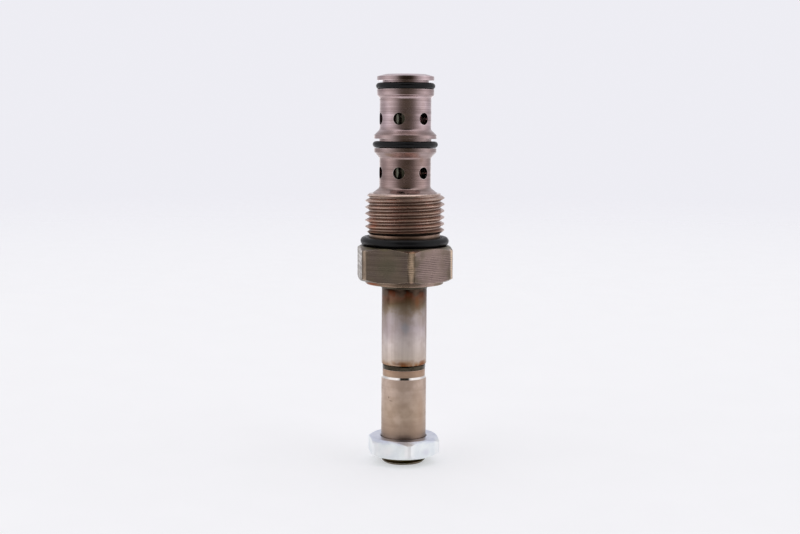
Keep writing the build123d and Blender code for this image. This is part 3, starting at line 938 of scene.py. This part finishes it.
ZINC = MetalFinish(
    name="bright_zinc_plate",
    bands=(
        (-60.0, (0.90, 0.94, 0.90)),
        (-58.9, (0.98, 1.0, 1.0)),
        (-55.2, (0.98, 1.0, 1.0)),
        (-54.2, (0.90, 0.92, 0.97)),
    ),
    lay=Lay.GROUND,
    spacing=0.60,
    roughness=(0.28, 0.42),
    relief=0.006,
    contrast=0.10,
    rim=(0.97, 0.98, 1.0),
    rim_share=0.6,
    rim_reach=0.14,
    grime_and_shade=(0.42, 0.42, 0.46),
    grime_and_shade_share=0.3,
    film=(0.80, 0.82, 0.90),
    film_share=0.2,
    corner=(10.1, 10.5),
    corner_colour=(1.0, 1.0, 1.0),
    corner_share=0.45,
    stains_and_painted_light=(
        # White patches on the left flat and the front corner: painted highlights
        StainAndLightPatch((-4.8, -8.5, -57.4), (3.4, 3.5, 2.2), (1.0, 1.0, 1.0), 0.7),
        StainAndLightPatch((1.4, -10.0, -57.2), (1.3, 2.0, 2.0), (1.0, 1.0, 1.0), 0.9),
        StainAndLightPatch((6.5, -7.5, -57.8), (2.4, 2.5, 1.6), (0.86, 0.86, 0.90), 0.6),
    ),
)
BRAZE = MetalFinish(
    name="dark_braze",
    bands=((-34.0, (0.36, 0.33, 0.28)),),
    lay=Lay.GROUND,
    spacing=0.35,
    roughness=(0.14, 0.35),
    relief=0.012,
    contrast=0.4,
    rim=(0.42, 0.44, 0.36),
    rim_share=0.5,
    grime_and_shade=(0.03, 0.025, 0.02),
    grime_and_shade_share=0.8,
    film=(0.10, 0.08, 0.06),
    film_share=0.5,
)
GROUND_STEEL = MetalFinish(
    name="oiled_and_shaded_spool_steel",
    # Dark base colour: painted shade for the spool as seen through the ports, with an oil film
    bands=((0.0, (0.42, 0.43, 0.38)),),
    spacing=0.12,
    roughness=(0.14, 0.28),
    relief=0.0015,
    contrast=0.10,
    grime_and_shade=(0.10, 0.10, 0.07),
    film=(0.34, 0.35, 0.28),
)
SPRING_WIRE = MetalFinish(
    name="drawn_spring_wire",
    bands=((0.0, (0.52, 0.52, 0.54)),),
    lay=Lay.GROUND,
    spacing=0.20,
    roughness=(0.25, 0.45),
    relief=0.004,
    contrast=0.25,
)
RUBBER = RubberFinish()


def deselect_all() -> None:
    """Leaves object mode with nothing selected."""
    if bpy.context.mode != "OBJECT":
        bpy.ops.object.mode_set(mode="OBJECT")
    bpy.ops.object.select_all(action="DESELECT")


def clear_marks() -> None:
    """Unmarks every corner, edge and face of the active mesh, and stays in object mode."""
    bpy.ops.object.mode_set(mode="EDIT")
    bpy.ops.mesh.select_all(action="DESELECT")
    bpy.ops.object.mode_set(mode="OBJECT")


def dress(node: bpy.types.Object, material: bpy.types.Material) -> None:
    """Puts one material in every slot of an object.

    Args:
        node: The object.
        material: Its finish.
    """
    if not node.material_slots:
        node.data.materials.append(material)
    for slot in node.material_slots:
        slot.material = material


def settle(piece: bpy.types.Object, body: str, node: str) -> None:
    """Moves a finished piece's place into its mesh and joins it to the frame.

    Args:
        piece: The finished piece.
        body: CAD body that it rides on.
        node: CAD node that it stands for.
    """
    deselect_all()
    piece.select_set(True)
    bpy.context.view_layer.objects.active = piece
    bpy.ops.object.transform_apply(location=True, rotation=True, scale=True)
    bpy.ops.object.shade_smooth_by_angle(angle=CREASE)
    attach(piece, body)
    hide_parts(node)
    LOG.info("%s: %d faces, rides on %s", piece.name, len(piece.data.polygons), body)


@dataclass
class SealRing:
    """A moulded O-ring with the thin flash line of its mould.

    Attributes:
        node: CAD node that the ring stands for.
        body: CAD body that it rides on.
        flash: How far the flash line stands out.
        sides: Segments round the ring.
    """

    node: str
    body: str = "valve_body"
    flash: float = 0.035 * MM
    sides: int = 160

    def build(self) -> bpy.types.Object:
        """Models the ring in its groove.

        Returns:
            The finished ring.
        """
        low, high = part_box(self.node)
        section = (high.z - low.z) / 2
        middle = (high.x - low.x) / 2 - section
        level = (high.z + low.z) / 2
        deselect_all()
        bpy.ops.mesh.primitive_torus_add(
            location=(0.0, 0.0, level), major_segments=self.sides, minor_segments=24,
            major_radius=middle, minor_radius=section,
        )
        ring = bpy.context.object
        ring.name = f"{self.node}_moulded"
        self.raise_flash(ring, middle)
        dress(ring, RUBBER.material())
        settle(ring, self.body, self.node)
        return ring

    def raise_flash(self, ring: bpy.types.Object, middle: float) -> None:
        """Splits the outer equator and draws the flash line out of it.

        Args:
            ring: The plain ring.
            middle: Radius of its centreline.
        """
        self.select_equator(ring, middle)
        bpy.ops.mesh.select_mode(type="EDGE")
        bpy.ops.mesh.bevel(offset=2.0 * self.flash, segments=2, affect="EDGES")
        bpy.ops.object.mode_set(mode="OBJECT")
        reach = max(vertex.co.to_2d().length for vertex in ring.data.vertices)
        grown = 1.0 + self.flash / reach
        self.select_equator(ring, middle)
        bpy.ops.transform.resize(value=(grown, grown, 1.0), center_override=(0.0, 0.0, 0.0))
        bpy.ops.object.mode_set(mode="OBJECT")

    def select_equator(self, ring: bpy.types.Object, middle: float) -> None:
        """Selects the edges round the ring's outer equator, and stays in edit mode.

        Args:
            ring: The ring.
            middle: Radius of its centreline.
        """
        clear_marks()
        for edge in ring.data.edges:
            ends = [ring.data.vertices[i].co for i in edge.vertices]
            edge.select = all(abs(end.z) < LEVEL and end.to_2d().length > middle for end in ends)
        bpy.ops.object.mode_set(mode="EDIT")


@dataclass
class BrazedJoint:
    """A ring of braze whose surface froze in shallow waves.

    Attributes:
        node: CAD node that the joint stands for.
        round_off: Width of its rounded edges.
        waves: Height of the waves.
        wave_length: Distance between them.
        wall: Thickness of the ring.
        sides: Segments round the ring.
    """

    node: str
    round_off: float
    waves: float = 0.05 * MM
    wave_length: float = 1.6 * MM
    wall: float = 0.30 * MM
    sides: int = 192

    def build(self) -> bpy.types.Object:
        """Models the joint.

        Returns:
            The finished ring.
        """
        low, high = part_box(self.node)
        outer = (high.x - low.x) / 2
        deselect_all()
        bpy.ops.mesh.primitive_cylinder_add(
            vertices=self.sides, radius=outer - self.waves / 2, depth=high.z - low.z,
            location=(0.0, 0.0, (low.z + high.z) / 2), end_fill_type="NGON",
        )
        joint = bpy.context.object
        joint.name = f"{self.node}_bead"
        clear_marks()
        for face in joint.data.polygons:
            face.select = abs(face.normal.z) > 0.9
        bpy.ops.object.mode_set(mode="EDIT")
        bpy.ops.mesh.select_mode(type="FACE")
        bpy.ops.mesh.bevel(offset=self.round_off, segments=5, profile=0.6, affect="EDGES")
        bpy.ops.object.mode_set(mode="OBJECT")
        self.open_bore(joint)
        self.ripple(joint)
        dress(joint, BRAZE.material())
        settle(joint, "valve_body", self.node)
        return joint

    def open_bore(self, joint: bpy.types.Object) -> None:
        """Insets the two end faces and bridges them into a bore.

        Args:
            joint: The closed bead.
        """
        clear_marks()
        for face in joint.data.polygons:
            face.select = len(face.vertices) == self.sides
        bpy.ops.object.mode_set(mode="EDIT")
        bpy.ops.mesh.select_mode(type="FACE")
        bpy.ops.mesh.inset(thickness=self.wall)
        bpy.ops.mesh.bridge_edge_loops()
        bpy.ops.object.mode_set(mode="OBJECT")

    def ripple(self, joint: bpy.types.Object) -> None:
        """Lays shallow waves over the bead.

        Args:
            joint: The smooth bead.
        """
        clouds = bpy.data.textures.new(f"{self.node}_waves", "CLOUDS")
        clouds.noise_scale = self.wave_length
        waves = joint.modifiers.new("waves", "DISPLACE")
        waves.texture = clouds
        waves.texture_coords = "LOCAL"
        waves.strength = self.waves
        waves.mid_level = 0.5
        bpy.context.view_layer.objects.active = joint
        bpy.ops.object.modifier_apply(modifier=waves.name)


@dataclass
class ReturnSpring:
    """The coil spring behind the plunger.

    Attributes:
        node: CAD node that the spring stands for.
        wire: Radius of its wire.
        turns: Number of turns.
        travel: How far the plunger presses it; not used.
        sides: Segments round the wire.
        steps: Segments in one turn.
    """

    node: str = "return_spring"
    wire: float = 0.30 * MM
    turns: int = 9
    travel: float = 3.4 * MM
    sides: int = 16
    steps: int = 48

    def build(self) -> bpy.types.Object:
        """Winds the spring.

        Returns:
            The finished spring.
        """
        low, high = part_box(self.node)
        length = high.z - low.z
        deselect_all()
        bpy.ops.mesh.primitive_circle_add(
            vertices=self.sides, radius=self.wire, rotation=(math.radians(90.0), 0.0, 0.0),
            location=((high.x - low.x) / 2 - self.wire, 0.0, low.z + self.wire),
        )
        spring = bpy.context.object
        spring.name = f"{self.node}_wound"
        bpy.ops.object.transform_apply(location=True, rotation=True, scale=True)
        winding = spring.modifiers.new("winding", "SCREW")
        winding.angle = 2.0 * math.pi
        winding.screw_offset = (length - 2.0 * self.wire) / self.turns
        winding.iterations = self.turns
        winding.steps = winding.render_steps = self.steps
        bpy.ops.object.modifier_apply(modifier=winding.name)
        bpy.ops.object.mode_set(mode="EDIT")
        bpy.ops.mesh.select_all(action="SELECT")
        bpy.ops.mesh.remove_doubles(threshold=WELD)
        bpy.ops.mesh.fill_holes(sides=0)
        bpy.ops.mesh.select_all(action="SELECT")
        bpy.ops.mesh.normals_make_consistent(inside=False)
        bpy.ops.object.mode_set(mode="OBJECT")
        dress(spring, SPRING_WIRE.material())
        settle(spring, "valve_body", self.node)
        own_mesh(spring)
        return spring


@dataclass
class PortedCage:
    """The ported sleeve and the spool, pin and washer inside it.

    Attributes:
        rings: CAD nodes of its rings.
    """

    rings: tuple[str, ...] = ("nose_o_ring", "middle_o_ring")

    def build(self, nodes: dict[str, bpy.types.Object]) -> None:
        """Dresses the cage and fits its rings.

        Args:
            nodes: CAD nodes by name.
        """
        dress(nodes["cage"], CAGE_STEEL.material())
        dress(nodes["spool"], GROUND_STEEL.material())
        dress(nodes["coupling_pin"], GROUND_STEEL.material())
        dress(nodes["spool_stop_washer"], CORE_STEEL.material())
        LOG.info("cage, spool, pin and stop washer dressed")
        for ring in self.rings:
            SealRing(ring).build()


@dataclass
class HexagonBody:
    """The hexagon adapter with its cavity thread and the ring behind it.

    Attributes:
        ring: CAD node of its ring.
        flash: How far that ring's flash line stands out.
    """

    ring: str = "seat_o_ring"
    flash: float = 0.045 * MM

    def build(self, nodes: dict[str, bpy.types.Object]) -> None:
        """Dresses the adapter and fits its ring.

        Args:
            nodes: CAD nodes by name.
        """
        dress(nodes["hex_adapter"], ADAPTER_STEEL.material())
        LOG.info("hexagon adapter dressed")
        SealRing(self.ring, flash=self.flash).build()


@dataclass
class GuideTube:
    """The drawn tube, its two brazed joints, the core behind it, and the plunger and spring in it.

    Attributes:
        front_round: Width of the front joint's rounded edges.
        rear_round: Width of the rear joint's rounded edges.
        rear_waves: Height of the waves on the rear joint.
    """

    front_round: float = 0.28 * MM
    rear_round: float = 0.34 * MM
    rear_waves: float = 0.03 * MM

    def build(self, nodes: dict[str, bpy.types.Object]) -> None:
        """Dresses the tube and core, winds the spring and models the joints.

        Args:
            nodes: CAD nodes by name.
        """
        dress(nodes["guide_tube"], TUBE_STEEL.material())
        dress(nodes["pole_piece"], CORE_STEEL.material())
        dress(nodes["plunger"], CORE_STEEL.material())
        dress(nodes["residual_shim"], BRAZE.material())
        LOG.info("guide tube, core, plunger and shim dressed")
        ReturnSpring().build()
        BrazedJoint("front_braze_ring", self.front_round).build()
        BrazedJoint("rear_braze_ring", self.rear_round, waves=self.rear_waves).build()


@dataclass
class CoilNut:
    """The plated nut on the stub and the seal in its gland.

    Attributes:
        seal: CAD node of the seal.
        flash: How far the seal's flash line stands out.
    """

    seal: str = "nut_seal_ring"
    flash: float = 0.015 * MM

    def build(self, nodes: dict[str, bpy.types.Object]) -> None:
        """Dresses the nut and fits its seal.

        Args:
            nodes: CAD nodes by name.
        """
        dress(nodes["coil_nut"], ZINC.material())
        LOG.info("coil nut dressed")
        SealRing(self.seal, body="nut_seal", flash=self.flash).build()


@dataclass
class Studio:
    """Pale table, soft light from the sides and above, and the camera.

    Attributes:
        eye: The camera's place.
        pitch: How far it looks down, in degrees.
        roll: How far it is turned about its line of sight, in degrees.
        lens: Focal length on a 36 mm wide sensor, in millimetres.
        table: Distance at which a third of the table's light reaches the metal.
        fade: Radius past which only the backdrop shows.
        backdrop: Colour of the backdrop.
        turn: How far to the right the dark end of the room lies, in degrees.
        room: Angles from the dark end in degrees, each with the light that comes from there.
        shade: Light of the high dark screen in front.
        wall: Light of the wall behind the part, above the table.
        lamp: Light of the lamp overhead.
        top: The two colours of the table's grain.
        glow: How strongly the table shines of its own.
        glow_colour: Colour of that light.
    """

    eye: Point = (-0.00126, -0.3675, 0.0334)
    pitch: float = 6.15
    roll: float = 0.36
    lens: float = 59.0
    table: float = 0.42
    fade: float = 1.5
    backdrop: Colour = (0.932, 0.930, 0.955)
    turn: float = 4.5
    room: tuple[tuple[float, Colour], ...] = (
        (0.0, (0.105, 0.090, 0.068)),
        (13.0, (0.115, 0.100, 0.078)),
        (23.0, (0.150, 0.132, 0.112)),
        (32.0, (0.210, 0.190, 0.175)),
        (41.0, (0.350, 0.330, 0.320)),
        (51.0, (0.540, 0.520, 0.520)),
        (60.0, (0.690, 0.675, 0.690)),
        (71.0, (0.870, 0.860, 0.880)),
        (82.0, (1.010, 1.000, 1.030)),
        (95.0, (0.880, 0.870, 0.900)),
        (109.0, (0.680, 0.670, 0.700)),
        (123.0, (0.600, 0.595, 0.620)),
        (148.0, (0.640, 0.635, 0.660)),
        (160.0, (1.200, 1.190, 1.220)),
        (180.0, (1.350, 1.340, 1.370)),
    )
    shade: Colour = (0.020, 0.018, 0.015)
    wall: Colour = (0.700, 0.690, 0.730)
    lamp: Colour = (1.30, 1.28, 1.33)
    top: tuple[Colour, Colour] = ((0.640, 0.638, 0.646), (0.652, 0.650, 0.658))
    glow: float = 0.425
    glow_colour: Colour = (0.97, 0.98, 1.0)

    def build(self, ground: float) -> None:
        """Sets up the whole studio.

        Args:
            ground: Height of the floor.
        """
        bpy.context.scene.view_settings.view_transform = "Standard"
        self.camera()
        self.light()
        self.floor(ground)
        LOG.info("studio ready, floor at %.2f mm", ground / MM)

    def camera(self) -> None:
        """Places the camera."""
        data = bpy.data.cameras.new("camera")
        data.sensor_width = 36.0
        data.lens = self.lens
        data.clip_start = 0.01
        data.clip_end = 20.0
        camera = bpy.data.objects.new("camera", data)
        bpy.context.scene.collection.objects.link(camera)
        tilt = Matrix.Rotation(math.radians(90.0 - self.pitch), 4, "X")
        turn = Matrix.Rotation(math.radians(self.roll), 4, "Z")
        camera.matrix_world = Matrix.Translation(Vector(self.eye)) @ tilt @ turn
        bpy.context.scene.camera = camera

    def light(self) -> None:
        """Lights the part from a pale room that is dark only behind the camera."""
        world = bpy.data.worlds.new("studio")
        bpy.context.scene.world = world
        world.use_nodes = True
        bench = NodeBench(world.node_tree)
        sky = world.node_tree.nodes["Background"]
        x, y, z = bench.split(bench.add("ShaderNodeTexCoord").outputs["Generated"])
        angle = self.bearing(bench, x, y)
        wider = bench.math("MULTIPLY", angle, bench.math("ADD", 1.0, bench.math("MAXIMUM", z, 0.0)))
        narrowed = bench.math("MINIMUM", wider, bench.math("MAXIMUM", angle, 0.5))
        front = bench.math("MULTIPLY", bench.ease(z, 0.2, 0.6), bench.ease(narrowed, 0.31, 0.22))
        rear = bench.math("MULTIPLY", bench.ease(z, -0.02, 0.06), bench.ease(angle, 0.80, 0.87))
        shaded = bench.math("MULTIPLY", front, 0.95)
        light = bench.blend(shaded, self.walls(bench, narrowed), (*self.shade, 1.0))
        light = bench.blend(rear, light, (*self.wall, 1.0))
        light = bench.blend(bench.ease(z, 0.85, 0.97), light, (*self.lamp, 1.0))
        seen = bench.add("ShaderNodeLightPath").outputs["Is Camera Ray"]
        bench.feed(sky.inputs["Color"], bench.blend(seen, light, linear(self.backdrop)))
        bench.feed(sky.inputs["Strength"], 1.0)

    def bearing(self, bench: NodeBench, x: Socket, y: Socket) -> Socket:
        """Direction in the room, taken from its dark end.

        Args:
            bench: Bench over the world's tree.
            x: Part of the direction to the right.
            y: Part of the direction away from the camera.

        Returns:
            0 at the dark end and 1 opposite it.
        """
        aside = math.radians(self.turn)
        ahead = bench.math("ADD", bench.math("MULTIPLY", y, -math.cos(aside)),
                           bench.math("MULTIPLY", x, math.sin(aside)))
        level = bench.math("DIVIDE", ahead, bench.math("MAXIMUM", bench.radius(x, y), 0.001))
        return bench.math("DIVIDE", bench.math("ARCCOSINE", level), math.pi)

    def walls(self, bench: NodeBench, bearing: Socket) -> Socket:
        """Light of the room's walls.

        Args:
            bench: Bench over the world's tree.
            bearing: Direction from the dark end, from 0 to 1.

        Returns:
            The light from that direction.
        """
        ramp = bench.add("ShaderNodeValToRGB")
        stops = ramp.color_ramp.elements
        for index, (degrees, light) in enumerate(self.room):
            stop = stops[index] if index < 2 else stops.new(degrees / 180.0)
            stop.position = degrees / 180.0
            stop.color = (*light, 1.0)
        bench.feed(ramp.inputs[0], bearing)
        return ramp.outputs["Color"]

    def floor(self, ground: float) -> None:
        """Lays the floor, which the metal mirrors less and less further out.

        Args:
            ground: Its height.
        """
        material = bpy.data.materials.new("pale_table")
        material.use_nodes = True
        bench = NodeBench(material.node_tree)
        shader = material.node_tree.nodes["Principled BSDF"]
        place = bench.add("ShaderNodeTexCoord").outputs["Object"]
        away = bench.distance(place, (0.0, 0.0, ground))
        grain = bench.noise(bench.stretched(place, (60.0, 60.0, 60.0)), 2.0, 0.5)
        dark, pale = ((*colour, 1.0) for colour in self.top)
        bench.feed(shader.inputs["Base Color"], bench.blend(bench.ease(grain, 0.3, 0.7), dark, pale))
        shader.inputs["Emission Color"].default_value = (*self.glow_colour, 1.0)
        shader.inputs["Emission Strength"].default_value = self.glow
        mirrored = bench.add("ShaderNodeLightPath").outputs["Is Glossy Ray"]
        past = bench.math("MULTIPLY", mirrored, bench.ease(away, -0.6 * self.table, 2.0 * self.table))
        shown = bench.math("SUBTRACT", 1.0, past)
        fading = bench.ease(away, 0.2, self.fade, 1.0, 0.0)
        bench.feed(shader.inputs["Alpha"], bench.math("MULTIPLY", fading, shown))
        shader.inputs["Roughness"].default_value = 0.9
        shader.inputs["Specular IOR Level"].default_value = 0.1
        deselect_all()
        bpy.ops.mesh.primitive_circle_add(
            vertices=128, radius=3.0 * self.fade, fill_type="NGON", location=(0.0, 0.0, ground)
        )
        floor = bpy.context.object
        floor.name = "floor"
        bpy.ops.object.transform_apply(location=True, rotation=True, scale=True)
        dress(floor, material)
        floor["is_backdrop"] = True


def corners() -> list[list[float]]:
    """Lowest and highest corner of everything that shows, as plain lists."""
    return [list(corner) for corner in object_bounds()]


def main() -> None:
    """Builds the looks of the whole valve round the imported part."""
    logging.basicConfig(level=logging.INFO, format="%(message)s")
    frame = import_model()
    cad_box = corners()
    nodes = frame["nodes"]
    PortedCage().build(nodes)
    HexagonBody().build(nodes)
    GuideTube().build(nodes)
    CoilNut().build(nodes)
    Studio().build(cad_box[0][2])


if __name__ == "__main__":
    main()
